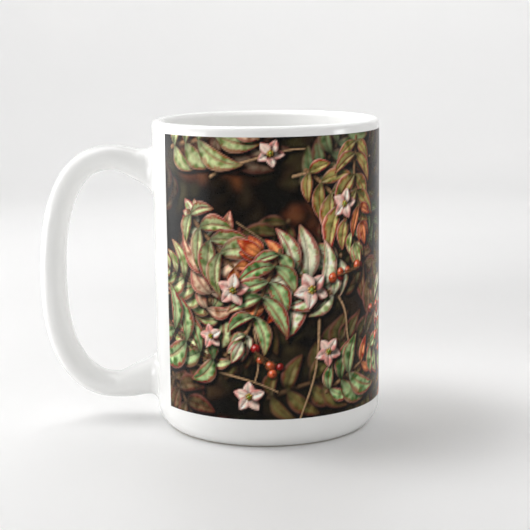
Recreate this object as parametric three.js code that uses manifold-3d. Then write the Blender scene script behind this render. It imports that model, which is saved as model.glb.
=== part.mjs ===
// A straight-sided ceramic mug with one bow handle, shaped and fired as a single piece.
// Millimetres, +Z up, handle towards -X. The origin is on the table under the middle of the outline.

import * as THREE from 'three';
import { ParametricGeometry } from 'three/addons/geometries/ParametricGeometry.js';
import { mergeVertices } from 'three/addons/utils/BufferGeometryUtils.js';
import Module from 'manifold-3d';

// Cup, from its axis
const BODY_RADIUS = 43;
const BODY_HEIGHT = 117.5;
const LIP_WIDTH = 4.2;
const LIP_ROUND = 2.1;
const WALL_AT_FLOOR = 5.2;
const FLOOR_HEIGHT = 8.5;
const INNER_CORNER = 13;

// Underside: a rounded corner, turned in to a narrow flat ring round a shallow hollow
const OUTER_CORNER = 10.4;
const CORNER_SWEEP_DEG = 58;
const FOOT_ROUND = 1.5;
const FOOT_WIDTH = 3;
const FOOT_HOLLOW = 2;

// Handle: a bow of superellipse outline, with a sloping root at each end of it
const HANDLE_REACH = 88.6;
const BOW_TOP = 107.4;
const BOW_BOTTOM = 8.4;
const BOW_WIDEST = 55;
const BOW_START = 59.5;
const BOW_SQUARENESS = 2.36;
const STRAP_THICK = 9.6;
const STRAP_WIDTH = 14.5;
const STRAP_SQUARENESS = 2.3;
const ROOT_END = 40.4;
const ROOT_SHARE = 0.13;
const UPPER_ROOT = { slope: -4.8, thicker: 11.2, wider: 4, power: 2.5 };
const LOWER_ROOT = { slope: 4.8, thicker: 8, wider: 4, power: 1.25 };

// Fineness of the facets
const ARC_STEP_DEG = 13;
const TURN_STEPS = 80;
const HANDLE_STEPS = 44;
const SECTION_STEPS = 20;

const GLAZE_WHITE = new THREE.MeshStandardMaterial({ color: 0xf4f4f2, roughness: 0.1, metalness: 0 });

const wasm = await Module();
wasm.setup();

const { lerp, smoothstep, clamp, degToRad } = THREE.MathUtils;

// A quarter turn or less of a circle, as points from one angle to another.
function arc(centreR, centreZ, radius, fromDeg, toDeg) {
  const steps = Math.ceil(Math.abs(toDeg - fromDeg) / ARC_STEP_DEG);
  return Array.from({ length: steps + 1 }, (_, i) => {
    const angle = degToRad(lerp(fromDeg, toDeg, i / steps));
    return new THREE.Vector2(centreR + radius * Math.cos(angle), centreZ + radius * Math.sin(angle));
  });
}

// The cup's section, from the axis underneath, round the foot, up the wall, over the lip and down
// to the axis inside. The foot's small round is tangent to the table and to the corner above it.
function cupProfile() {
  const sweep = degToRad(CORNER_SWEEP_DEG);
  const cornerR = BODY_RADIUS - OUTER_CORNER;
  const cornerZ = FOOT_ROUND + (OUTER_CORNER - FOOT_ROUND) * Math.sin(sweep);
  const footR = cornerR + (OUTER_CORNER - FOOT_ROUND) * Math.cos(sweep);
  const hollowR = footR - FOOT_WIDTH;
  const lipZ = BODY_HEIGHT - LIP_ROUND;
  const innerR = BODY_RADIUS - WALL_AT_FLOOR;
  return [
    new THREE.Vector2(0, FOOT_HOLLOW),
    new THREE.Vector2(hollowR - FOOT_HOLLOW, FOOT_HOLLOW),
    new THREE.Vector2(hollowR, 0),
    ...arc(footR, FOOT_ROUND, FOOT_ROUND, -90, -CORNER_SWEEP_DEG),
    ...arc(cornerR, cornerZ, OUTER_CORNER, -CORNER_SWEEP_DEG, 0).slice(1),
    ...arc(BODY_RADIUS - LIP_ROUND, lipZ, LIP_ROUND, 0, 90),
    ...arc(BODY_RADIUS - LIP_WIDTH + LIP_ROUND, lipZ, LIP_ROUND, 90, 180).slice(1),
    ...arc(innerR - INNER_CORNER, FLOOR_HEIGHT + INNER_CORNER, INNER_CORNER, 0, -90),
    new THREE.Vector2(0, FLOOR_HEIGHT),
  ];
}

// The handle's centreline in the plane y = 0, measured outwards from the cup's axis: down a root
// into the wall at each end, and round the bow between them.
class HandleLine extends THREE.Curve {
  getPoint(t, target = new THREE.Vector3()) {
    const endZ = t < 0.5 ? BOW_TOP - STRAP_THICK / 2 : BOW_BOTTOM + STRAP_THICK / 2;
    const intoRoot = rootness(t);
    if (intoRoot > 0) {
      const out = lerp(BOW_START, ROOT_END, intoRoot);
      return target.set(-out, 0, endZ + rootAt(t).slope * smoothstep(intoRoot, 0, 1));
    }
    const turn = Math.PI * (0.5 - (t - ROOT_SHARE) / (1 - 2 * ROOT_SHARE));
    const power = 2 / BOW_SQUARENESS;
    const reach = HANDLE_REACH - STRAP_THICK / 2 - BOW_START;
    const out = BOW_START + reach * Math.abs(Math.cos(turn)) ** power;
    const away = Math.abs(Math.sin(turn)) ** power;
    return target.set(-out, 0, lerp(BOW_WIDEST, endZ, away));
  }
}

// 0 in the bow, growing to 1 where a root ends inside the wall.
function rootness(t) {
  return clamp(1 - Math.min(t, 1 - t) / ROOT_SHARE, 0, 1);
}

// The root at this end of the handle.
function rootAt(t) {
  return t < 0.5 ? UPPER_ROOT : LOWER_ROOT;
}

// The strap: a rounded section carried along the centreline, wider and thicker towards its roots,
// with its two ends closed to a point inside the wall.
function handleGeometry() {
  const line = new HandleLine();
  const centre = new THREE.Vector3();
  const along = new THREE.Vector3();
  const rows = HANDLE_STEPS + 2;
  const power = 2 / STRAP_SQUARENESS;
  const rounded = (value) => Math.sign(value) * Math.abs(value) ** power;
  return new ParametricGeometry(
    (u, v, target) => {
      const row = Math.round(v * rows);
      const t = clamp((row - 1) / HANDLE_STEPS, 0, 1);
      const size = row === 0 || row === rows ? 0 : 1;
      line.getPoint(t, centre);
      line.getTangent(t, along);
      const root = rootAt(t);
      const flare = rootness(t) ** root.power;
      const thick = STRAP_THICK + root.thicker * flare;
      const wide = STRAP_WIDTH + root.wider * flare;
      const across = (size * thick * rounded(Math.cos(2 * Math.PI * u))) / 2;
      target.set(centre.x + along.z * across, 0, centre.z - along.x * across);
      target.y = (size * wide * rounded(Math.sin(2 * Math.PI * u))) / 2;
    },
    SECTION_STEPS,
    rows,
  );
}

// A closed geometry as a solid that can be joined: shared corners are merged, and the flat
// triangles left at its poles are dropped.
function toSolid(geometry) {
  const bare = geometry.clone();
  bare.deleteAttribute('normal');
  bare.deleteAttribute('uv');
  const merged = mergeVertices(bare, 1e-3);
  const corners = merged.index.array;
  const kept = [];
  for (let i = 0; i < corners.length; i += 3) {
    const [a, b, c] = corners.slice(i, i + 3);
    if (a !== b && b !== c && c !== a) kept.push(a, b, c);
  }
  const vertProperties = merged.attributes.position.array;
  return new wasm.Manifold(new wasm.Mesh({ numProp: 3, vertProperties, triVerts: new Uint32Array(kept) }));
}

// A joined solid back as a geometry with flat faces.
function toGeometry(solid) {
  const made = solid.getMesh();
  const shared = new THREE.BufferGeometry();
  shared.setAttribute('position', new THREE.BufferAttribute(made.vertProperties, 3));
  shared.setIndex(new THREE.BufferAttribute(made.triVerts, 1));
  const flat = shared.toNonIndexed();
  flat.computeVertexNormals();
  return flat;
}

const cup = new THREE.LatheGeometry(cupProfile(), TURN_STEPS).rotateX(Math.PI / 2);
const mug = new THREE.Mesh(toGeometry(toSolid(cup).add(toSolid(handleGeometry()))), GLAZE_WHITE);
mug.name = 'mug';
mug.position.x = (HANDLE_REACH - BODY_RADIUS) / 2;

const part = new THREE.Group();
part.add(mug);

export default part;
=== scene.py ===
# %% [markdown]
# # A glazed mug with a wraparound print
# The mug is one fired piece: a thin-walled cup with a bow handle, both under the same white glaze.
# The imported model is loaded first. It is the frame that everything here is built in, in metres, with
# the cup's axis a little to the right of the origin and the handle towards -X.

# %% Load the frame
import math

import bpy
import numpy as np
from mathutils import Matrix, Vector


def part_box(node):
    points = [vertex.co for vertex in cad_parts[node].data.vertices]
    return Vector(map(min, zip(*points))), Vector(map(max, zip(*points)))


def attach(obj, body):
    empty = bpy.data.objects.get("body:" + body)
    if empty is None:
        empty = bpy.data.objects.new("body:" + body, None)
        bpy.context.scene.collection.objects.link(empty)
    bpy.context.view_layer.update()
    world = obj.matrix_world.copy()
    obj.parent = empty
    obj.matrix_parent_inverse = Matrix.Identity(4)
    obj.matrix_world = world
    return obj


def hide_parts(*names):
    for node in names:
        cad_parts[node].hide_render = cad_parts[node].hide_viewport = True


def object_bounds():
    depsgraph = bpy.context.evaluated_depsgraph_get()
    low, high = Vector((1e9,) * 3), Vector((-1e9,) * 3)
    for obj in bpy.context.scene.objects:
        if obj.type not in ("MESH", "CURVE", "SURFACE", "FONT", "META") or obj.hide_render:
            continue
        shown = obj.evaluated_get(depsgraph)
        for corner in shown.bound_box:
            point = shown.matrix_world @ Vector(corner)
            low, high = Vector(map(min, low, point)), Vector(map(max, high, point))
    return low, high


MM = 0.001

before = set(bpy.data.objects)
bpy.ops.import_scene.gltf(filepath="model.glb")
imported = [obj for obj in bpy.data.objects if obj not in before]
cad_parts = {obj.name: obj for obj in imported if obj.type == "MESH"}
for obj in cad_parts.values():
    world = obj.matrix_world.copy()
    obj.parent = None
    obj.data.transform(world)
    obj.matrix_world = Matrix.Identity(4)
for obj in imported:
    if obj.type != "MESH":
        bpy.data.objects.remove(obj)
cad_low, cad_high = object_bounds()
cad_size = [round((high - low) / MM, 2) for low, high in zip(cad_low, cad_high)]
print("solids in the frame:", len(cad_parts), "with a box of", cad_size, "mm")

# %% [markdown]
# The driving sizes are the real mug's. Everything else is worked out from them, and from the box of
# the solid that the looks have to fit.

# %% Driving sizes
BODY_ACROSS = 86 * MM
BODY_TALL = 117.5 * MM
PRINT_PROUD = 0.05 * MM

body_low, body_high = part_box("mug")
AXIS_X = body_high.x - BODY_ACROSS / 2
PRINT_RADIUS = BODY_ACROSS / 2
WALL_RADIUS = PRINT_RADIUS - PRINT_PROUD
print("cup axis at x =", round(AXIS_X / MM, 2), "mm; glazed wall radius", round(WALL_RADIUS / MM, 2), "mm")

# %% [markdown]
# Every new surface here is a grid of points: rows along one parameter, columns along the other. Two
# small helpers turn such a grid into a mesh. One lists the faces of a grid as whole arrays, the other
# hands points and faces to Blender in one go. Faces run anticlockwise seen from outside.

# %% Grid helpers
def grid_faces(rows, columns, start=0, closed_columns=False):
    """Four-sided faces of a grid numbered row by row: each joins two points on each of two rows."""
    row = np.arange(rows - 1)[:, None]
    column = np.arange(columns if closed_columns else columns - 1)[None, :]
    next_row = row + 1
    next_column = (column + 1) % columns
    corners = [row * columns + column, row * columns + next_column]
    corners += [next_row * columns + next_column, next_row * columns + column]
    return start + np.stack(np.broadcast_arrays(*corners), axis=-1).reshape(-1, 4)


def fan_faces(ring_start, ring_size, pole, flip=False):
    """Triangles from a ring to a single point: the closed end of a grid."""
    here = ring_start + np.arange(ring_size)
    after = ring_start + (np.arange(ring_size) + 1) % ring_size
    order = (after, here) if flip else (here, after)
    return np.stack([*order, np.full(ring_size, pole)], axis=-1)


def new_piece(name, points, *face_groups):
    """A smooth-shaded mesh object at the origin, its points in metres in the shared frame."""
    mesh = bpy.data.meshes.new(name)
    faces = [face for group in face_groups for face in group.tolist()]
    mesh.from_pydata(np.asarray(points).tolist(), [], faces)
    mesh.shade_smooth()
    piece = bpy.data.objects.new(name, mesh)
    bpy.context.scene.collection.objects.link(piece)
    return piece


def triangles(piece):
    """How many triangles a piece's mesh comes to."""
    sides = np.empty(len(piece.data.polygons), np.int32)
    piece.data.polygons.foreach_get("loop_total", sides)
    return int((sides - 2).sum())

# %% [markdown]
# The cup is turned: one section, carried round the axis. The section is a chain of arcs and straight
# stretches, from the axis underneath, over the foot ring, up the wall, round the lip and down inside to
# the axis again. A spun profile is the plain way to make it, and points packed closely round the curves
# keep the gloss free of facets. The steps are the degrees from one such point to the next.

# %% Section of the cup
FOOT_HOLLOW = 2 * MM
FOOT_WIDTH = 3 * MM
FOOT_ROUND = 1.5 * MM
FOOT_EDGE = 0.5 * MM
OUTER_CORNER = 10.4 * MM
CORNER_SWEEP = math.radians(58)
LIP_ROUND = 2.1 * MM
LIP_WIDTH = 4.2 * MM
WALL_AT_FLOOR = 5.2 * MM
INNER_CORNER = 13 * MM
FLOOR_HEIGHT = 8.5 * MM
EDGE_STEP, FOOT_STEP, CORNER_STEP = 15, 6, 3
WALL_RINGS, INSIDE_RINGS, FLOOR_RINGS = 60, 24, 5


def arc(centre, radius, start_deg, end_deg, step_deg=4):
    """Points on a circle about centre, from one angle to another: centre + radius (cos, sin)."""
    count = int(np.ceil(abs(end_deg - start_deg) / step_deg)) + 1
    angle = np.radians(np.linspace(start_deg, end_deg, count))
    return np.stack([centre[0] + radius * np.cos(angle), centre[1] + radius * np.sin(angle)], axis=-1)


def line(start, end, count):
    """Points inside a straight stretch, its two ends left out."""
    share = np.linspace(0, 1, count + 2)[1:-1, None]
    return (1 - share) * np.array(start) + share * np.array(end)


def cup_section():
    """Radius and height of the cup's outline, joined from tangent arcs and straight stretches."""
    corner_r = WALL_RADIUS - OUTER_CORNER
    corner_z = FOOT_ROUND + (OUTER_CORNER - FOOT_ROUND) * math.sin(CORNER_SWEEP)
    foot_r = corner_r + (OUTER_CORNER - FOOT_ROUND) * math.cos(CORNER_SWEEP)
    hollow_r = foot_r - FOOT_WIDTH
    lip_z = BODY_TALL - LIP_ROUND
    inner_r = WALL_RADIUS - WALL_AT_FLOOR
    lip_inner = WALL_RADIUS - LIP_WIDTH
    sweep = math.degrees(CORNER_SWEEP)
    edge = FOOT_EDGE
    stretches = [
        arc((hollow_r - FOOT_HOLLOW - 3 * edge, FOOT_HOLLOW - edge), edge, 90, 45, EDGE_STEP),
        arc((hollow_r - edge, edge), edge, -135, -90, EDGE_STEP),
        arc((foot_r, FOOT_ROUND), FOOT_ROUND, -90, -sweep, FOOT_STEP),
        arc((corner_r, corner_z), OUTER_CORNER, -sweep, 0, CORNER_STEP)[1:],
        line((WALL_RADIUS, corner_z), (WALL_RADIUS, lip_z), WALL_RINGS),
        arc((WALL_RADIUS - LIP_ROUND, lip_z), LIP_ROUND, 0, 90),
        arc((lip_inner + LIP_ROUND, lip_z), LIP_ROUND, 90, 180)[1:],
        line((lip_inner, lip_z), (inner_r, FLOOR_HEIGHT + INNER_CORNER), INSIDE_RINGS),
        arc((inner_r - INNER_CORNER, FLOOR_HEIGHT + INNER_CORNER), INNER_CORNER, 0, -90),
        line((inner_r - INNER_CORNER, FLOOR_HEIGHT), (0, FLOOR_HEIGHT), FLOOR_RINGS),
    ]
    return np.concatenate(stretches)

# %% [markdown]
# The section is carried round the axis in even steps. It starts and ends on the axis, so each end of
# the grid is closed with a fan of triangles to a single point, and the cup comes out watertight.

# %% Turn the cup
TURNS = 240


def turned(profile, pole_below, pole_above):
    """Points of a spun surface: x = axis + r cos(angle), y = r sin(angle), z from the profile."""
    angle = np.linspace(0, 2 * np.pi, TURNS, endpoint=False)
    radius = profile[:, 0, None]
    x = AXIS_X + radius * np.cos(angle)
    y = radius * np.sin(angle)
    z = np.broadcast_to(profile[:, 1, None], x.shape)
    skin = np.stack([x, y, z], axis=-1).reshape(-1, 3)
    return np.concatenate([skin, [[AXIS_X, 0, pole_below], [AXIS_X, 0, pole_above]]])


section = cup_section()
rings = len(section)
cup = new_piece(
    "mug_body",
    turned(section, FOOT_HOLLOW, FLOOR_HEIGHT),
    grid_faces(rings, TURNS, closed_columns=True),
    fan_faces(0, TURNS, rings * TURNS, flip=True),
    fan_faces((rings - 1) * TURNS, TURNS, rings * TURNS + 1),
)
print("cup:", rings, "rings,", triangles(cup), "triangles")

# %% [markdown]
# The handle is a strap carried along a bow. The bow's outline is a superellipse, a circle pushed
# towards a square, and the strap's section is one too. At each end the strap slopes and thickens into
# a root. The line is worked out as arrays of distance from the cup's axis and of height.

# %% Line of the handle
HANDLE_REACH = body_high.x - body_low.x - BODY_ACROSS / 2
BOW_TOP = 107.4 * MM
BOW_BOTTOM = 8.4 * MM
BOW_WIDEST = 55 * MM
BOW_START = 59.5 * MM
BOW_SQUARENESS = 2.36
STRAP_THICK = 9.6 * MM
STRAP_WIDE = 14.5 * MM
STRAP_SQUARENESS = 2.3
ROOT_END = 40.4 * MM
UPPER_ROOT = {"z": BOW_TOP - STRAP_THICK / 2, "slope": -4.8 * MM, "thicker": 11.2 * MM, "power": 2.5}
LOWER_ROOT = {"z": BOW_BOTTOM + STRAP_THICK / 2, "slope": 4.8 * MM, "thicker": 8 * MM, "power": 1.25}
ROOT_WIDER = 4 * MM
BOW_STEPS, ROOT_STEPS, FILLET_STEPS = 150, 26, 14
FILLET = 3.2 * MM
SINK = 0.02 * MM
END_DEPTH = 1.5 * MM


def smooth(x):
    """0 below 0, 1 above 1, and 3x^2 - 2x^3 between."""
    x = np.clip(x, 0, 1)
    return x * x * (3 - 2 * x)


def bow():
    """The bow between its roots: out grows by |cos a|^(2/n), height runs to its end by |sin a|^(2/n)."""
    turn = np.linspace(np.pi / 2, -np.pi / 2, BOW_STEPS + 2)[1:-1]
    power = 2 / BOW_SQUARENESS
    out = BOW_START + (HANDLE_REACH - STRAP_THICK / 2 - BOW_START) * np.cos(turn) ** power
    end_z = np.where(turn > 0, UPPER_ROOT["z"], LOWER_ROOT["z"])
    z = BOW_WIDEST + (end_z - BOW_WIDEST) * np.abs(np.sin(turn)) ** power
    plain = np.ones(BOW_STEPS)
    return {
        "out": out,
        "z": z,
        "thick": plain * STRAP_THICK,
        "wide": plain * STRAP_WIDE,
        "gap": out - WALL_RADIUS,
    }


def root(kind):
    """A root from inside the wall outwards: a smooth step slopes it and a power of its nearness swells it.

    Its last stretch is a quarter circle's fillet that leaves the wall almost along it, then sinks in.
    """
    turn = np.linspace(np.pi / 2, 0, FILLET_STEPS)
    near = FILLET * (1 - np.sin(turn)) - SINK
    swell = FILLET * (1 - np.cos(turn))
    far = np.linspace(FILLET - SINK, BOW_START - WALL_RADIUS, ROOT_STEPS)[1:]
    gap = np.concatenate([[-END_DEPTH], near, far])
    swell = np.concatenate([[FILLET], swell, 0 * far])
    out = WALL_RADIUS + gap
    nearness = np.clip((BOW_START - out) / (BOW_START - ROOT_END), 0, 1)
    flare = nearness ** kind["power"]
    return {
        "out": out,
        "z": kind["z"] + kind["slope"] * smooth(nearness),
        "thick": STRAP_THICK + kind["thicker"] * flare + 2 * swell,
        "wide": STRAP_WIDE + ROOT_WIDER * flare + 2 * swell,
        "gap": gap,
    }


upper, middle, lower = root(UPPER_ROOT), bow(), root(LOWER_ROOT)
strap = {key: np.concatenate([upper[key], middle[key], lower[key][::-1]]) for key in upper}
print("handle line:", len(strap["out"]), "rings, top at", round(strap["z"].max() / MM, 1), "mm")

# %% [markdown]
# Each ring of the strap stands square to the line. Close to the wall that would leave a flat cut
# against a round cup, so there the rings are bent to run parallel to the cup's own surface. The
# fillet then leaves the wall evenly all the way round, as glaze that has run into the corner does.

# %% Carry the strap along its line
RING_POINTS = 72
BEND_FROM = 9 * MM


def strap_points(line_of):
    """Ring points: a superellipse across each step of the line, bent onto the cup's curve near the wall."""
    centre = np.stack([-line_of["out"], line_of["z"]], axis=-1)
    along = np.gradient(centre, axis=0)
    along /= np.linalg.norm(along, axis=1, keepdims=True)
    angle = np.linspace(0, 2 * np.pi, RING_POINTS, endpoint=False)
    power = 2 / STRAP_SQUARENESS
    across = line_of["thick"][:, None] / 2 * np.sign(np.cos(angle)) * np.abs(np.cos(angle)) ** power
    y = line_of["wide"][:, None] / 2 * np.sign(np.sin(angle)) * np.abs(np.sin(angle)) ** power
    x = centre[:, 0, None] + along[:, 1, None] * across
    z = centre[:, 1, None] - along[:, 0, None] * across
    gap = line_of["gap"][:, None]
    bent = smooth((BEND_FROM - gap) / (BEND_FROM - FILLET))
    wall_x = -np.sqrt(WALL_RADIUS**2 - y**2) - gap
    upright = centre[:, 1, None] - np.sign(along[:, 0, None]) * across
    x = AXIS_X + (1 - bent) * x + bent * wall_x
    z = (1 - bent) * z + bent * upright
    rings_of_points = np.stack([x, y, z], axis=-1)
    ends = rings_of_points[[0, -1]].mean(axis=1)
    return np.concatenate([rings_of_points.reshape(-1, 3), ends])


steps = len(strap["out"])
handle = new_piece(
    "handle",
    strap_points(strap),
    grid_faces(steps, RING_POINTS, closed_columns=True),
    fan_faces(0, RING_POINTS, steps * RING_POINTS, flip=True),
    fan_faces((steps - 1) * RING_POINTS, RING_POINTS, steps * RING_POINTS + 1),
)
print("handle:", triangles(handle), "triangles")

# %% [markdown]
# Cup and handle were joined before firing, so they become one skin: a Boolean union keeps only the
# outside of both. It is applied at once, and the handle's own object is removed.

# %% Join them
def apply_modifiers(piece):
    """Works the piece's modifiers into its mesh."""
    seen = piece.evaluated_get(bpy.context.evaluated_depsgraph_get())
    mesh = bpy.data.meshes.new_from_object(seen)
    piece.modifiers.clear()
    piece.data = mesh


join = cup.modifiers.new("join", "BOOLEAN")
join.operation = "UNION"
join.object = handle
join.solver = "MANIFOLD"
apply_modifiers(cup)
bpy.data.objects.remove(handle)
cup.data.shade_smooth()
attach(cup, "root")
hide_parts("mug")
print("joined:", triangles(cup), "triangles")

# %% [markdown]
# The print is a transfer fused into the glaze. It has next to no thickness, but as a skin of its own
# it can carry a fine pattern, and its edges stay crisp. The outer face is a dense grid on the round
# wall that stops short of the handle on both sides. The hidden inner face needs only long narrow faces,
# so nearly all the triangles go where the pattern shows.

# %% Skin of the print
PRINT_LOW = 11.6 * MM
PRINT_TALL = 102.2 * MM
PRINT_GAP = math.radians(37)
PRINT_SUNK = 0.5 * MM
PRINT_COLUMNS = 460
PRINT_ROWS = 213


def print_skin():
    """Outer grid x = axis + R cos a, y = R sin a, bottom row first, then two rows of inner points."""
    share_u = np.linspace(0, 1, PRINT_COLUMNS)
    share_v = np.linspace(0, 1, PRINT_ROWS)
    angle = (2 * share_u - 1) * (np.pi - PRINT_GAP)

    def rows_at(radius, heights):
        x = AXIS_X + radius * np.cos(angle)
        y = radius * np.sin(angle)
        shape = (len(heights), PRINT_COLUMNS)
        z = np.broadcast_to(np.array(heights)[:, None], shape)
        return np.stack([np.broadcast_to(x, shape), np.broadcast_to(y, shape), z], axis=-1).reshape(-1, 3)

    top = PRINT_LOW + PRINT_TALL
    outer = rows_at(PRINT_RADIUS, PRINT_LOW + share_v * PRINT_TALL)
    inner = rows_at(PRINT_RADIUS - PRINT_SUNK, [top, PRINT_LOW])
    last = PRINT_ROWS * PRINT_COLUMNS
    column = np.arange(PRINT_COLUMNS - 1)
    top_row = last - PRINT_COLUMNS
    top_rim = np.stack([top_row + column, top_row + column + 1, last + column + 1, last + column], axis=-1)
    back = grid_faces(2, PRINT_COLUMNS, start=last)
    low = last + PRINT_COLUMNS
    low_rim = np.stack([low + column, low + column + 1, column + 1, column], axis=-1)
    left = [list(range(0, last, PRINT_COLUMNS)) + [last, low]]
    right_column = range(PRINT_COLUMNS - 1, last, PRINT_COLUMNS)
    right = [list(right_column)[::-1] + [low + PRINT_COLUMNS - 1, last + PRINT_COLUMNS - 1]]
    faces = [grid_faces(PRINT_ROWS, PRINT_COLUMNS), top_rim, back, low_rim, np.array(left), np.array(right)]
    return np.concatenate([outer, inner]), faces


skin_points, skin_faces = print_skin()
skin = new_piece("print", skin_points, *skin_faces)
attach(skin, "root")
PRINT_WIDE = 2 * (math.pi - PRINT_GAP) * PRINT_RADIUS
print("print:", round(PRINT_WIDE / MM, 1), "mm round,", triangles(skin), "triangles")

# %% [markdown]
# The print shows sprays of leaves with twigs, small flowers and berries, lit from the upper left against
# deep shade. It could be drawn by shader nodes, but leaves that overlap and throw shadows on each other
# are far easier to paint. So numpy paints it on a canvas of linear colour, the farthest things first, and
# every point of the skin then carries the colour of its own spot. The canvas is twice as fine as the
# skin, and each point takes the mean of four cells, which keeps the edges smooth.

# %% Canvas of the print
OVERSAMPLE = 2
ART_WIDE = PRINT_WIDE / MM
ART_TALL = PRINT_TALL / MM
ART_LIGHT = np.array([-0.55, 0.5, 0.67])
MOTTLE_SIZES = (0.22, 0.8, 5)
MOTTLE_LIMIT = 2.5
ART_SEED = 7

canvas_columns = OVERSAMPLE * PRINT_COLUMNS
canvas_rows = OVERSAMPLE * PRINT_ROWS
art_x = (np.arange(canvas_columns) + 0.5) / canvas_columns * ART_WIDE
art_y = (np.arange(canvas_rows) + 0.5) / canvas_rows * ART_TALL
CELLS_PER_MM = canvas_columns / ART_WIDE
rng = np.random.default_rng(ART_SEED)


def blurred(field, spread):
    """A field blurred by a Gaussian: its Fourier transform times exp(-2 (pi spread frequency)^2)."""
    frequency_y = np.fft.fftfreq(canvas_rows, ART_TALL / canvas_rows)[:, None]
    frequency_x = np.fft.rfftfreq(canvas_columns, ART_WIDE / canvas_columns)
    keep = np.exp(-2 * (np.pi * spread) ** 2 * (frequency_x**2 + frequency_y**2))
    layers = [np.fft.irfft2(np.fft.rfft2(layer) * keep, layer.shape) for layer in np.moveaxis(field, -1, 0)]
    return np.stack(layers, axis=-1)


def mottle(size):
    """Random blotches of a size in millimetres, around 0 with a spread of 1."""
    field = blurred(rng.standard_normal((canvas_rows, canvas_columns, 1)), size)[..., 0]
    return np.clip(field / field.std(), -MOTTLE_LIMIT, MOTTLE_LIMIT)


fine, medium, coarse = [mottle(size) for size in MOTTLE_SIZES]
canvas = np.zeros((canvas_rows, canvas_columns, 3))

# %% [markdown]
# The inks are few. Each leaf kind has a deep and a pale one, and the red of edges and ribs is shared.

# %% Inks
def ink(code):
    """Linear colour of a six-letter colour code."""
    part = np.array([int(code[i:i + 2], 16) for i in (0, 2, 4)]) / 255
    return np.where(part <= 0.04045, part / 12.92, ((part + 0.055) / 1.055) ** 2.4)


SHADE = ink("0b0904")
RED = ink("9c2622")
BLUSH = ink("eab4a2")
TWIG = ink("c09a72")
BARK = ink("7a5434")
CORAL = ink("ee6f42")
GOLD = ink("d3a94c")
LIME = ink("93a53c")
SAGE = (ink("748642"), ink("d3dea0"))
MINT = (ink("93a56a"), ink("efeecb"))
OLIVE = (ink("66602a"), ink("b9ad62"))
ROSE = (ink("94664a"), ink("eccaa6"))
RUST = (ink("a23c1a"), ink("f59a58"))
MOSS = (ink("34351a"), ink("7d7a40"))
UMBER = (ink("4a371b"), ink("a38754"))
FERN = (ink("557a3c"), ink("bedb98"))
PETAL = (ink("d08a80"), ink("fbe4d2"))

# %% [markdown]
# A brush only touches the patch of canvas it can reach, so each stroke is quick. Laying on colour and
# darkening are the only two things that a brush does.

# %% Laying on colour
def patch(x, y, reach):
    """The part of the canvas within reach of a point, with its coordinates measured from that point."""
    column = np.searchsorted(art_x, [x - reach, x + reach])
    row = np.searchsorted(art_y, [y - reach, y + reach])
    area = np.s_[row[0]:row[1], column[0]:column[1]]
    return area, art_x[None, area[1]] - x, art_y[area[0], None] - y


def lay(area, cover, colour):
    """Covers what is there by a share from 0 to 1."""
    canvas[area] += cover[..., None] * (colour - canvas[area])


def shadow(area, depth):
    """Darkens what is there by a share from 0 to 1."""
    canvas[area] *= 1 - depth[..., None]


def ramp(value, start, end):
    """The smooth step from start to end."""
    return smooth((value - start) / (end - start))

# %% [markdown]
# A leaf is almond-shaped and folded along its rib. Its own coordinates run from 0 to 1 along it and from
# -1 to 1 across it. Its shade comes from the slopes of the fold, and its red edge, rib and freckles are
# masks on those coordinates, roughened by the mottled fields. A band is where such a mask starts and ends.

# %% Leaf
LEAF_SHADOW = {"right": 1.0, "down": 1.1, "depth": 0.85}
LEAF_ARCH, LEAF_FOLD, LEAF_CURL = 0.5, 0.62, 0.95
IN_SHADE, IN_LIGHT = 0.34, 1.05
EDGE_BAND = (0.52, 0.84)
RIM_BAND = (0.86, 1.0)
TIP_BAND = (0.76, 1.0)
RIB_BAND = (0.24, 0.08)
DOT_BAND = (0.9, 1.5)
WAX_BAND = (1.0, 1.3)


def leaf_outline(dx, dy, aim, length, half, bend, sides):
    """Share along and across a leaf and distance outside it; its half width is half sin(pi s^0.8)^0.8."""
    along = dx * np.cos(aim) + dy * np.sin(aim)
    across = dy * np.cos(aim) - dx * np.sin(aim)
    s = np.clip(along / length, 1e-4, 1 - 1e-4)
    across = across - bend * length * s * (3.65 - 4 * s)
    width = half * np.where(across > 0, *sides) * np.sin(np.pi * s**0.8) ** 0.8 + 0.03
    outside = np.maximum(np.abs(across) - width, np.maximum(-along, along - length))
    return s, across / width, outside


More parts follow.
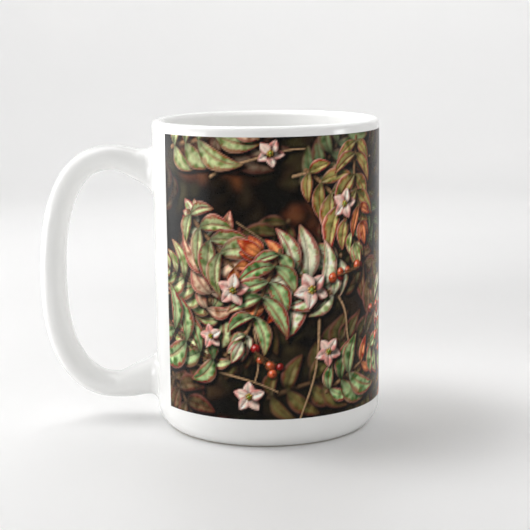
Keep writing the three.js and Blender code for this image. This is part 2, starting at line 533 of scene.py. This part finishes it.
def leaf(x, y, aim, length, half, greens, bend=0.0, sides=(1, 1), bright=1.0, red=1.0, keel=0.7):
    """A folded leaf lit from the upper left, red along edges and rib, and its shadow on what lies below."""
    to_middle_x, to_middle_y = length * np.cos(aim) / 2, length * np.sin(aim) / 2
    area, dx, dy = patch(x + to_middle_x, y + to_middle_y, 0.62 * length + half + 2)
    if min(dx.size, dy.size) == 0:
        return
    dx, dy = dx + to_middle_x, dy + to_middle_y
    shade_x, shade_y = dx - LEAF_SHADOW["right"], dy + LEAF_SHADOW["down"]
    far = leaf_outline(shade_x, shade_y, aim, length, half, bend, sides)[2]
    shadow(area, LEAF_SHADOW["depth"] * ramp(-far, -1.3, 0.5))
    s, t, outside = leaf_outline(dx, dy, aim, length, half, bend, sides)
    a = np.abs(t)
    shift = rng.integers(0, min(canvas_rows, canvas_columns), 2)
    grain = np.roll(fine, shift, (0, 1))[area]
    cloud = np.roll(medium, shift, (0, 1))[area]
    slope_along = LEAF_ARCH * (s - 0.45)
    slope_across = -LEAF_FOLD * np.sign(t) * (1 - 0.7 * a) + LEAF_CURL * t * a**2
    light_along = ART_LIGHT[0] * np.cos(aim) + ART_LIGHT[1] * np.sin(aim)
    light_across = ART_LIGHT[1] * np.cos(aim) - ART_LIGHT[0] * np.sin(aim)
    facing = slope_along * light_along + slope_across * light_across + ART_LIGHT[2]
    lit = IN_SHADE + IN_LIGHT * np.clip(facing / np.sqrt(1 + slope_along**2 + slope_across**2), 0, 1)
    deep, pale = greens
    colour = deep + (pale - deep) * ramp(0.5 + 0.3 * cloud + 0.45 * (1 - a) - 0.2 * s, 0, 1)[..., None]
    edge = ramp(a + 0.08 * cloud + 0.05 * grain, *EDGE_BAND) * (0.65 + 0.35 * s)
    tip = ramp(s + 0.05 * cloud, *TIP_BAND)
    rib = keel * ramp(a - 0.04 * cloud, *RIB_BAND) * (0.45 + 0.55 * s)
    dots = 0.7 * ramp(grain, *DOT_BAND) * ramp(a, 0.2, 0.7)
    blush = np.clip(red * np.maximum.reduce([edge, 0.85 * tip, rib, dots]), 0, 1)[..., None]
    colour = colour + (RED - colour) * blush
    colour = colour + (BLUSH - colour) * (0.55 * red * ramp(a, *RIM_BAND))[..., None]
    wax = 0.07 * ramp(lit, *WAX_BAND) * (0.6 + 0.4 * cloud)
    lit = lit * (0.3 + 0.7 * ramp(s, 0, 0.35)) * bright * (1 + 0.05 * grain)
    cover = np.clip(0.5 - CELLS_PER_MM * outside, 0, 1)
    lay(area, cover, colour * lit[..., None] + wax[..., None] * bright)

# %% [markdown]
# Round things need no outline of their own: the distance from a line or a point gives both the edge and
# the roundness that the light falls on.

# %% Twigs, stems and berries
TWIG_SHADOW = {"right": 0.8, "down": 0.9, "depth": 0.25}
BERRY_SHADOW = {"right": 0.35, "down": 0.4, "depth": 0.7}
BERRY_SHINE = (-0.38, 0.36)
BERRY_EYE = (0.2, -0.1)


def from_shadow(dx, dy, kind):
    """Distance from a shadow's middle, which lies to the right of and below what throws it."""
    return np.hypot(dx - kind["right"], dy + kind["down"])


def twig(points, widths, tone, bright=1.0):
    """A chain of round rods: each is brightest where its roundness faces the light."""
    for start, end, width in zip(points[:-1], points[1:], widths):
        step = end - start
        area, dx, dy = patch(*(start + end) / 2, np.hypot(*step) / 2 + width + 2.5)
        if min(dx.size, dy.size) == 0:
            continue
        dx, dy = dx + step[0] / 2, dy + step[1] / 2
        share = np.clip((dx * step[0] + dy * step[1]) / step.dot(step), 0, 1)
        dx, dy = dx - share * step[0], dy - share * step[1]
        shadow(area, TWIG_SHADOW["depth"] * ramp(from_shadow(dx, dy, TWIG_SHADOW), 1.6, 0.5))
        r = np.hypot(dx, dy) / (width / 2)
        facing = (dx * ART_LIGHT[0] + dy * ART_LIGHT[1]) / (width / 2)
        facing = facing + np.sqrt(np.clip(1 - r**2, 0, 1)) * ART_LIGHT[2]
        lit = bright * (0.3 + 0.9 * np.clip(facing, 0, 1)) * (1 + 0.12 * fine[area])
        lay(area, np.clip(0.5 + CELLS_PER_MM * (1 - r) * width / 2, 0, 1), tone * lit[..., None])


def berry(x, y, radius, tone, bright=1.0):
    """A ball lit from the upper left, with a small shine and a dark eye."""
    area, dx, dy = patch(x, y, 1.9 * radius + 1)
    if min(dx.size, dy.size) == 0:
        return
    dx, dy = dx / radius, dy / radius
    shadow(area, BERRY_SHADOW["depth"] * ramp(from_shadow(dx, dy, BERRY_SHADOW), 1.35, 0.85))
    r = np.hypot(dx, dy)
    facing = dx * ART_LIGHT[0] + dy * ART_LIGHT[1] + np.sqrt(np.clip(1 - r**2, 0, 1)) * ART_LIGHT[2]
    colour = tone * (0.2 + 0.95 * np.clip(facing, 0, 1))[..., None] * (1 + 0.12 * medium[area][..., None])
    shine = ramp(np.hypot(dx - BERRY_SHINE[0], dy - BERRY_SHINE[1]), 0.34, 0.09)
    eye = ramp(np.hypot(dx - BERRY_EYE[0], dy - BERRY_EYE[1]), 0.24, 0.12)
    colour = (colour * bright + 0.45 * shine[..., None]) * (1 - 0.75 * eye[..., None])
    lay(area, np.clip(0.5 + CELLS_PER_MM * (1 - r) * radius, 0, 1), colour)

# %% [markdown]
# Leaves sit in pairs along a swaying stem, as on a real shrub, with every size and angle a little off.
# LEAF_LENGTH and LEAF_HALF are shares of the spray's leaf size, and each draw falls between the two.

# %% Sprays and flowers
STEM_STEP = 1.5
PAIR_SPACING = 0.42
LEAF_LENGTH = (0.75, 1.05)
LEAF_HALF = (0.19, 0.26)
LEAF_BEND = (0.02, 0.14)
LEAF_BRIGHT = (0.82, 1.12)
WIDE_SIDE, NARROW_SIDE = (0.9, 1.1), (0.45, 0.85)
OPEN_ANGLE, ANGLE_SPREAD = 0.95, 0.12
TIP_SHARE = 0.72
TIP_LEAVES = ((0.45, 0.5), (-0.45, 0.5), (0, 0.62))
PETALS, STAMENS, STAMEN_TURN = 5, 6, 1.05


def wander(x, y, aim, length, turn, wave):
    """A line that turns evenly and sways once, and its heading at each point."""
    share = np.linspace(0, 1, int(length / STEM_STEP) + 1)
    heading = aim + turn * share + wave * np.sin(2 * np.pi * share)
    steps = STEM_STEP * np.stack([np.cos(heading), np.sin(heading)], axis=-1)
    return np.array([x, y]) + np.cumsum(steps, axis=0) - steps[0], heading


def spray(x, y, aim, length, size, greens, tip_greens, bright, turn, wave, red=1.0):
    """A stem with pairs of leaves, largest in the middle, and three small ones at its tip."""
    stem, heading = wander(x, y, aim, length, turn, wave)
    twig(stem, np.linspace(0.11, 0.06, len(stem)) * size, 0.7 * BARK + 0.3 * TWIG, bright)
    step = 1.0
    while step < len(stem) - 1:
        share = step / len(stem)
        grow = (0.75 + 0.45 * np.sin(np.pi * min(1, 1.15 * share))) * (1 - 1.5 * max(0, share - 0.7))
        for side in (1, -1):
            sides = (rng.uniform(*WIDE_SIDE), rng.uniform(*NARROW_SIDE))[::side]
            leaf(
                *stem[int(step)],
                heading[int(step)] + side * rng.normal(OPEN_ANGLE, ANGLE_SPREAD) * (1 - 0.35 * share),
                size * grow * rng.uniform(*LEAF_LENGTH),
                size * grow * rng.uniform(*LEAF_HALF),
                tip_greens if share > TIP_SHARE else greens,
                bend=side * rng.uniform(*LEAF_BEND),
                sides=sides,
                bright=bright * rng.uniform(*LEAF_BRIGHT),
                red=red * rng.uniform(0.7, 1.1),
                keel=rng.uniform(0.3, 1.0),
            )
        step += PAIR_SPACING * size / STEM_STEP * rng.uniform(0.85, 1.15)
    for off, long in TIP_LEAVES:
        leaf(*stem[-1], heading[-1] + off, long * size, 0.16 * size, tip_greens, bright=bright, red=red)


def flower(x, y, size, turn):
    """Five petals round a ring of stamens."""
    for k in range(PETALS):
        leaf(x, y, turn + k * math.tau / PETALS, size, 0.36 * size, PETAL, red=0.4, keel=0.5)
    for k in range(STAMENS):
        angle = turn + STAMEN_TURN * k
        away = 0.16 * size * np.array([math.cos(angle), math.sin(angle)])
        berry(x + away[0], y + away[1], 0.085 * size, GOLD)
    berry(x, y, 0.11 * size, LIME)

# %% [markdown]
# The picture is built up like a real thicket: a blurred far layer, a soft middle layer, bare twigs, and
# sharp near sprays that are spread evenly by a grid. Last, every edge is made a little crisper, as a print
# shop does, which makes up for the softness between the skin's points. All draws come from one seeded
# generator, so the print is the same each time.

# %% Paint the print
FAR = {"grid": (12, 5), "bright": (0.06, 0.22), "size": (12, 17), "red": 0.5, "blur": 1.0}
MIDDLE = {"grid": (9, 4), "bright": (0.2, 0.55), "size": (12, 17), "red": 0.9, "blur": 0.3}
NEAR = {"grid": (8, 4), "bright": (0.75, 1.1), "size": (13, 18), "red": 1.0}
SPRAY_LENGTH = (22, 42)
TWIG_COUNT = 16
TWIG_LENGTH = (30, 70)
FLOWER_COUNT = 12
FLOWER_SIZE = (4.5, 7)
CLUSTER_COUNT = 9
BERRY_SPACING = 2.6
EDGE_MARGIN = 5
CRISPNESS = 0.8
CRISP_SPREAD = 0.4


def anywhere(margin=0):
    """A random place on the canvas, or up to a margin outside it."""
    return rng.uniform(-margin, ART_WIDE + margin), rng.uniform(-margin, ART_TALL + margin)


def spread_places(across, up):
    """One random place in each cell of a grid, in random order."""
    cells = rng.permutation([(i, j) for i in range(across) for j in range(up)])
    return (cells + rng.uniform(0, 1, cells.shape)) * [ART_WIDE / across, ART_TALL / up]


def layer_of_sprays(layer, kinds, tips):
    """Sprays all over the canvas, each with its own heading, bend and brightness."""
    for k, (x, y) in enumerate(spread_places(*layer["grid"])):
        spray(
            x,
            y,
            aim=rng.uniform(0, math.tau),
            length=rng.uniform(*SPRAY_LENGTH),
            size=rng.uniform(*layer["size"]),
            greens=kinds[k % len(kinds)],
            tip_greens=tips[k % len(tips)],
            bright=rng.uniform(*layer["bright"]),
            turn=rng.normal(0, 0.5),
            wave=rng.normal(0, 0.12),
            red=layer["red"],
        )


def bare_twig():
    """A long twig anywhere on the canvas."""
    aim, length = rng.uniform(0, math.tau), rng.uniform(*TWIG_LENGTH)
    stem, _ = wander(*anywhere(), aim, length, rng.normal(0, 0.8), rng.normal(0, 0.25))
    twig(stem, np.linspace(1.2, 0.5, len(stem)), TWIG, 0.8)


def berry_cluster():
    """A few berries in a loose row, each on its own stalk from one point."""
    x, y = anywhere(-EDGE_MARGIN)
    aim = rng.uniform(0, math.tau)
    along = np.array([math.cos(aim), math.sin(aim)])
    for k in range(rng.integers(4, 8)):
        place = [x, y] + BERRY_SPACING * k * along + rng.normal(0, 1.2, 2)
        twig(np.array([[x, y], place]), [0.5], BARK, 0.8)
        berry(*place, rng.uniform(1.3, 2.1), CORAL if k % 3 else 1.3 * RED, 0.9)


def paint():
    """Far sprays first, out of focus, then nearer ones, twigs, flowers and berries."""
    canvas[:] = SHADE * (0.6 + 0.5 * ramp(coarse, -1.5, 2)[..., None])
    far = [UMBER, MOSS, RUST, OLIVE]
    layer_of_sprays(FAR, far, far)
    canvas[:] = blurred(canvas, FAR["blur"])
    middle = [UMBER, OLIVE, ROSE, MOSS, FERN]
    layer_of_sprays(MIDDLE, middle, middle)
    canvas[:] = blurred(canvas, MIDDLE["blur"])
    for _ in range(TWIG_COUNT):
        bare_twig()
    near = [SAGE, MINT, FERN, ROSE, SAGE, OLIVE, MINT, FERN]
    tips = [RUST, MINT, ROSE, SAGE, RUST]
    layer_of_sprays(NEAR, near, tips)
    for _ in range(FLOWER_COUNT):
        flower(*anywhere(-EDGE_MARGIN), rng.uniform(*FLOWER_SIZE), rng.uniform(0, math.tau))
    for _ in range(CLUSTER_COUNT):
        berry_cluster()
    canvas[:] += CRISPNESS * (canvas - blurred(canvas, CRISP_SPREAD))
    shape = (PRINT_ROWS, OVERSAMPLE, PRINT_COLUMNS, OVERSAMPLE, 3)
    return canvas.reshape(shape).mean(axis=(1, 3))

# %% [markdown]
# The painted colours go onto the skin's points as a colour attribute, which the ink's material reads.
# The skin also gets a flat map of its own: the outer face fills nearly all of it, and the hidden rims and
# back lie in thin strips below.

# %% Put the picture on the skin
MAP_MARGIN = 0.004
MAP_STRIPS = 0.03
STRIP_START, STRIP_APART, STRIP_TALL = 0.1, 0.18, 0.1


def lay_flat(piece):
    """Map of the skin: outer faces by column and row, then a strip each for rims, back and two sides."""
    mesh = piece.data
    corners = np.empty(len(mesh.loops), np.int32)
    mesh.loops.foreach_get("vertex_index", corners)
    starts = np.empty(len(mesh.polygons), np.int32)
    mesh.polygons.foreach_get("loop_start", starts)
    row, column = corners // PRINT_COLUMNS, corners % PRINT_COLUMNS
    across = MAP_MARGIN + (1 - 2 * MAP_MARGIN) * column / (PRINT_COLUMNS - 1)
    upwards = MAP_STRIPS + (1 - MAP_MARGIN - MAP_STRIPS) * row / (PRINT_ROWS - 1)
    outer_faces = (PRINT_ROWS - 1) * (PRINT_COLUMNS - 1)
    strip = PRINT_COLUMNS - 1
    breaks = [outer_faces + k * strip for k in range(4)]
    breaks.append(breaks[-1] + 1)
    for number, face in enumerate(breaks):
        last = starts[breaks[number + 1]] if number + 1 < len(breaks) else len(corners)
        loops = slice(starts[face], last)
        upwards[loops] = MAP_STRIPS * (STRIP_START + STRIP_APART * number + STRIP_TALL * (row[loops] % 2))
    sides = slice(starts[breaks[3]], len(corners))
    across[sides] = MAP_MARGIN + (1 - 2 * MAP_MARGIN) * np.minimum(row[sides] / (PRINT_ROWS - 1), 1)
    flat_map = mesh.uv_layers.new(name="OFBake")
    flat_map.uv.foreach_set("vector", np.stack([across, upwards], axis=-1).astype(np.float32).ravel())


picture = np.empty((PRINT_ROWS + 2, PRINT_COLUMNS, 4))
picture[:PRINT_ROWS, :, :3] = np.clip(paint(), 0, 1)
picture[PRINT_ROWS:, :, :3] = SHADE
picture[..., 3] = 1
art = skin.data.attributes.new("art", "FLOAT_COLOR", "POINT")
art.data.foreach_set("color", picture.astype(np.float32).ravel())
lay_flat(skin)
print("print painted, mean colour", picture[:PRINT_ROWS, :, :3].mean(axis=(0, 1)).round(3))

# %% [markdown]
# The camera stands where the photographer stood: a little to the right of square on to the handle, half a
# metre away and looking down about ten degrees. The long lens keeps the sides of the cup nearly upright.

# %% Camera
CAMERA_TURN = math.radians(5.5)
CAMERA_AWAY = 542.6 * MM
CAMERA_HEIGHT = 157.65 * MM
PITCH = math.radians(10.11)
YAW = math.radians(-0.08)
ROLL = math.radians(-0.67)
LENS_MM = 97.2


def camera_axes():
    """Right, up and back of the camera: yawed, pitched downwards, then rolled about the line of sight."""
    ahead = np.array([math.sin(YAW) * math.cos(PITCH), math.cos(YAW) * math.cos(PITCH), -math.sin(PITCH)])
    level = np.array([math.cos(YAW), -math.sin(YAW), 0])
    upright = np.cross(level, ahead)
    right = level * math.cos(ROLL) + upright * math.sin(ROLL)
    up = upright * math.cos(ROLL) - level * math.sin(ROLL)
    return np.stack([right, up, -ahead], axis=-1)


camera_data = bpy.data.cameras.new("camera")
camera_data.lens = LENS_MM
camera = bpy.data.objects.new("camera", camera_data)
bpy.context.scene.collection.objects.link(camera)
stand = Matrix.Identity(4)
stand.col[3][:3] = (0, -CAMERA_AWAY, CAMERA_HEIGHT)
for i, axis in enumerate(camera_axes().T):
    stand.col[i][:3] = axis
camera.matrix_world = Matrix.Translation((AXIS_X, 0, 0)) @ Matrix.Rotation(CAMERA_TURN, 4, "Z") @ stand
bpy.context.scene.camera = camera
print("camera at", [round(c / MM, 1) for c in camera.matrix_world.translation], "mm")

# %% [markdown]
# The mug stands on a plain pale sweep: a flat floor that curls up into a wall on every side, further
# out than any camera stands. It has no edge or horizon to draw the eye, and it throws soft light back.

# %% Floor
FLOOR_FLAT = 750 * MM
SWEEP_ROUND = 300 * MM
SWEEP_TALL = 1300 * MM
SWEEP_CENTRE = 1 * MM
SWEEP_TURNS = 96
SWEEP_STEP = 5


def sweep():
    """A spun floor: flat to a radius, a quarter circle up, then an upright wall."""
    rise = arc((FLOOR_FLAT, SWEEP_ROUND), SWEEP_ROUND, -90, 0, SWEEP_STEP)
    profile = np.concatenate([[[SWEEP_CENTRE, 0]], rise, [[FLOOR_FLAT + SWEEP_ROUND, SWEEP_TALL]]])
    angle = np.linspace(0, 2 * np.pi, SWEEP_TURNS, endpoint=False)
    x = AXIS_X + profile[:, 0, None] * np.cos(angle)
    y = profile[:, 0, None] * np.sin(angle)
    z = np.broadcast_to(profile[:, 1, None], x.shape)
    points = np.stack([x, y, z], axis=-1).reshape(-1, 3)
    return np.concatenate([points, [[AXIS_X, 0, 0]]]), len(profile)


floor_points, floor_rings = sweep()
floor = new_piece(
    "floor",
    floor_points,
    grid_faces(floor_rings, SWEEP_TURNS, closed_columns=True)[:, ::-1],
    fan_faces(0, SWEEP_TURNS, floor_rings * SWEEP_TURNS),
)

# %% [markdown]
# Shaders are sums and masks, and they read best as formulas. A thin wrapper round a node socket lets
# Python's own operators add the Math nodes, and one method adds any other node.

# %% Shader helpers
class Value:
    """A shader value. Arithmetic on it adds Math nodes to its material."""

    def __init__(self, shader, socket):
        self.shader = shader
        self.socket = socket

    def __add__(self, other):
        return self.shader.math("ADD", self, other)

    def __sub__(self, other):
        return self.shader.math("SUBTRACT", self, other)

    def __rsub__(self, other):
        return self.shader.math("SUBTRACT", other, self)

    def __mul__(self, other):
        return self.shader.math("MULTIPLY", self, other)

    __radd__ = __add__
    __rmul__ = __mul__


class Shader:
    """A material under construction, with one Principled surface."""

    def __init__(self, name):
        self.material = bpy.data.materials.new(name)
        self.material.use_nodes = True
        self.tree = self.material.node_tree
        self.tree.nodes.clear()

    def node(self, kind, settings, sockets, out=0):
        """A node of any kind: its settings first, then the values or links of its sockets."""
        made = self.tree.nodes.new("ShaderNode" + kind)
        for name, setting in settings.items():
            setattr(made, name, setting)
        for name, value in sockets.items():
            if isinstance(value, Value):
                self.tree.links.new(value.socket, made.inputs[name])
            else:
                made.inputs[name].default_value = value
        return Value(self, made.outputs[out] if made.outputs else None)

    def math(self, operation, first, second):
        """A sum, difference or product."""
        return self.node("Math", {"operation": operation}, {0: first, 1: second})

    def mask(self, value, start, end):
        """0 where value is at start, 1 where it is at end, with a smooth ramp between."""
        sockets = {"Value": value, "From Min": start, "From Max": end}
        return self.node("MapRange", {"interpolation_type": "SMOOTHSTEP"}, sockets)

    def noise(self, where, size, detail=2.0):
        """Soft noise from 0 to 1 whose blotches are about that size, in metres."""
        sockets = {"Vector": where, "Scale": 1 / size, "Detail": detail}
        return self.node("TexNoise", {}, sockets)

    def mix(self, factor, first, second):
        """A colour between two."""
        return self.node("Mix", {"data_type": "RGBA"}, {"Factor": factor, 6: first, 7: second}, out=2)

    def scaled(self, colour, factor):
        """A colour made brighter or darker by a factor."""
        return self.node("VectorMath", {"operation": "SCALE"}, {0: colour, "Scale": factor})

    def bump(self, height, depth):
        """A surface normal from a height that goes from 0 to 1 and is depth metres deep."""
        return self.node("Bump", {}, {"Height": height, "Distance": depth, "Strength": 1.0})

    def surface(self, sockets, *pieces):
        """Ends the material in a Principled surface and puts it on the pieces."""
        principled = self.node("BsdfPrincipled", {}, sockets)
        self.node("OutputMaterial", {}, {"Surface": principled})
        for piece in pieces:
            piece.data.materials.clear()
            piece.data.materials.append(self.material)

# %% [markdown]
# The glaze is a thick white glass over pale clay. Its whiteness pools and thins a little over the cup,
# its surface has a slow ripple and a finer peel, and both soften the gloss. The foot ring was wiped
# before firing, so the lowest half millimetre is bare, rough, warmer clay. Its colour is set darker than
# bare clay, as painted shade for the dark line where the cup meets the floor. A height that wavers a
# little tells them apart.

# %% Glaze
GLAZE_WHITE = (0.86, 0.86, 0.845, 1)
GLAZE_COOL = (0.885, 0.885, 0.875, 1)
# The bare clay's colour is darker than the clay itself: painted shade for the contact line under the cup.
CLAY_WITH_CONTACT_SHADE = (0.53, 0.47, 0.375, 1)
BARE_BELOW = 0.45 * MM
WIPE_SOFT = 0.25 * MM
WIPE_WAVER = 0.3 * MM
WIPE_WAVES = 2 * MM
POOLS = 40 * MM
RIPPLE = 14 * MM
PEEL = 1.6 * MM
GRIT = 0.5 * MM
GLAZE_DEPTH = 0.04 * MM
GLAZE_IOR = 1.5

glaze = Shader("white_glaze")
where = glaze.node("TexCoord", {}, {}, out=3)
above_table = glaze.node("SeparateXYZ", {}, {"Vector": where}, out=2)
pooled = glaze.noise(where, POOLS)
ripple = glaze.noise(where, RIPPLE, 1.0)
peel = glaze.noise(where, PEEL)
wiped_height = above_table + glaze.noise(where, WIPE_WAVES) * WIPE_WAVER
bare = glaze.mask(wiped_height, BARE_BELOW + WIPE_SOFT, BARE_BELOW)
grit = glaze.noise(where, GRIT, 4.0)
white = glaze.mix(pooled, GLAZE_WHITE, GLAZE_COOL)
height = (1 - bare) * (ripple + peel * 0.03) + bare * grit * 0.5
glaze.surface(
    {
        "Base Color": glaze.mix(bare, white, CLAY_WITH_CONTACT_SHADE),
        "Roughness": 0.07 + pooled * 0.05 + bare * 0.6,
        "Normal": glaze.bump(height, GLAZE_DEPTH),
        "IOR": GLAZE_IOR,
    },
    cup,
)

# %% [markdown]
# The ink lies under the same glaze and follows its ripple, but it dries to a satin skin that mirrors less
# of the room, so its blacks stay deep. A very fine grain breaks up the smooth steps between the points.

# %% Printed ink
INK_SPECK = 0.3 * MM
INK_SHINE = 0.12

ink_skin = Shader("print_ink")
where = ink_skin.node("TexCoord", {}, {}, out=3)
painted = ink_skin.node("Attribute", {"attribute_name": "art"}, {})
speck = ink_skin.noise(where, INK_SPECK, 3.0)
ripple = ink_skin.noise(where, RIPPLE, 1.0)
ink_skin.surface(
    {
        "Base Color": ink_skin.scaled(painted, 0.9 + 0.2 * speck),
        "Roughness": 0.25 + 0.05 * speck,
        "Specular IOR Level": INK_SHINE,
        "Normal": ink_skin.bump(ripple, GLAZE_DEPTH),
    },
    skin,
)

# %% [markdown]
# The sweep is matt and pale, with a faint unevenness so that it doesn't look like paper.

# %% Floor finish
FLOOR_PALE = (0.92, 0.915, 0.91, 1)
FLOOR_GREY = (0.885, 0.885, 0.885, 1)
FLOOR_DRIFT = 130 * MM
FLOOR_ROUGH = 0.5

stone = Shader("pale_floor")
where = stone.node("TexCoord", {}, {}, out=3)
drift = stone.noise(where, FLOOR_DRIFT, 3.0)
stone.surface({"Base Color": stone.mix(drift, FLOOR_PALE, FLOOR_GREY), "Roughness": FLOOR_ROUGH}, floor)

# %% [markdown]
# The light is a bright room with a wide window on the left. Flat soft boxes stand in for it. A long low
# one is what the upright wall mirrors as a haze on the left of the print, three above it shade the cup
# from left to right, and a high one behind lights the rim. Two weak ones on the right open the shade,
# and a narrow one puts a glint under the lip. Angles are counted from the camera, to the left, and no
# lamp shows itself to the camera.

# %% Lights
AIM_HEIGHT = 60 * MM
SOFT_BOXES = {
    "window_low": {"left": 92, "up": -1, "away": 430 * MM, "size": (560 * MM, 90 * MM), "bright": 4.6},
    "window_sill": {"left": 100, "up": 15, "away": 700 * MM, "size": (350 * MM, 150 * MM), "bright": 3.1},
    "window": {"left": 105, "up": 32, "away": 620 * MM, "size": (400 * MM, 250 * MM), "bright": 1.4},
    "window_high": {"left": 90, "up": 55, "away": 620 * MM, "size": (400 * MM, 300 * MM), "bright": 2.15},
    "behind_left": {"left": 140, "up": 60, "away": 650 * MM, "size": (450 * MM, 300 * MM), "bright": 2.8},
    "right": {"left": -100, "up": 42, "away": 620 * MM, "size": (450 * MM, 300 * MM), "bright": 0.7},
    "front_right": {"left": -40, "up": 35, "away": 620 * MM, "size": (450 * MM, 300 * MM), "bright": 0.95},
    "glint": {"left": -76, "up": 1.7, "away": 600 * MM, "size": (130 * MM, 30 * MM), "bright": 6.0},
}


def at(left, out, high):
    """A place by its angle to the left of the camera, its distance from the cup's axis and its height."""
    turn = math.atan2(camera.location.y, camera.location.x - AXIS_X) - math.radians(left)
    return Vector((AXIS_X + out * math.cos(turn), out * math.sin(turn), high))


def soft_box(name, place, aim, size, bright, spread=180):
    """A flat lamp that faces a point. Its power is its brightness times its area times pi."""
    lamp = bpy.data.lights.new(name, "AREA")
    lamp.shape = "RECTANGLE"
    lamp.size, lamp.size_y = size
    lamp.energy = bright * size[0] * size[1] * math.pi
    lamp.spread = math.radians(spread)
    box = bpy.data.objects.new(name, lamp)
    box.matrix_world = Matrix.LocRotScale(place, (place - aim).to_track_quat("Z", "Y"), None)
    box.visible_camera = False
    bpy.context.scene.collection.objects.link(box)


for name, box in SOFT_BOXES.items():
    rise = math.radians(box["up"])
    place = at(box["left"], box["away"] * math.cos(rise), AIM_HEIGHT + box["away"] * math.sin(rise))
    soft_box(name, place, at(0, 0, AIM_HEIGHT), box["size"], box["bright"])
print("window and fill:", len(SOFT_BOXES), "soft boxes")

# %% [markdown]
# The window alone can't reach far into the cup, so a small card over the mouth throws light from the
# left onto the inside. Four wide lamps face away from the cup and wash the wall of the sweep, the one
# behind the cup the most, and a faint world fills what is left.

# %% Card, wall washes and world
CARD_HEIGHT = 240 * MM
CARD_OUT = 35 * MM
CARD_SIZE = (70 * MM, 70 * MM)
CARD_BRIGHT = 1.8
CARD_SPREAD = 60
INSIDE_SPOT = {"out": -38.5 * MM, "high": 105 * MM}
WASH_HEIGHT = 620 * MM
WASH_OUT = 250 * MM
WASH_SIZE = (900 * MM, 300 * MM)
WASHES = {180: 4.3, 90: 1.35, 0: 1.35, -90: 1.35}
WORLD_LIGHT = 0.07

card_place = at(90, CARD_OUT, CARD_HEIGHT)
card_aim = at(90, INSIDE_SPOT["out"], INSIDE_SPOT["high"])
soft_box("card", card_place, card_aim, CARD_SIZE, CARD_BRIGHT, CARD_SPREAD)
for left, bright in WASHES.items():
    far_wall = at(left, FLOOR_FLAT + SWEEP_ROUND, WASH_HEIGHT)
    soft_box(f"wash_{left}", at(left, WASH_OUT, WASH_HEIGHT), far_wall, WASH_SIZE, bright)

world = bpy.data.worlds.new("studio")
world.use_nodes = True
background = world.node_tree.nodes["Background"]
background.inputs["Color"].default_value = (1, 1, 1, 1)
background.inputs["Strength"].default_value = WORLD_LIGHT
bpy.context.scene.world = world
bpy.context.scene.view_settings.view_transform = "Standard"
print("card and washes:", 1 + len(WASHES), "more lamps")
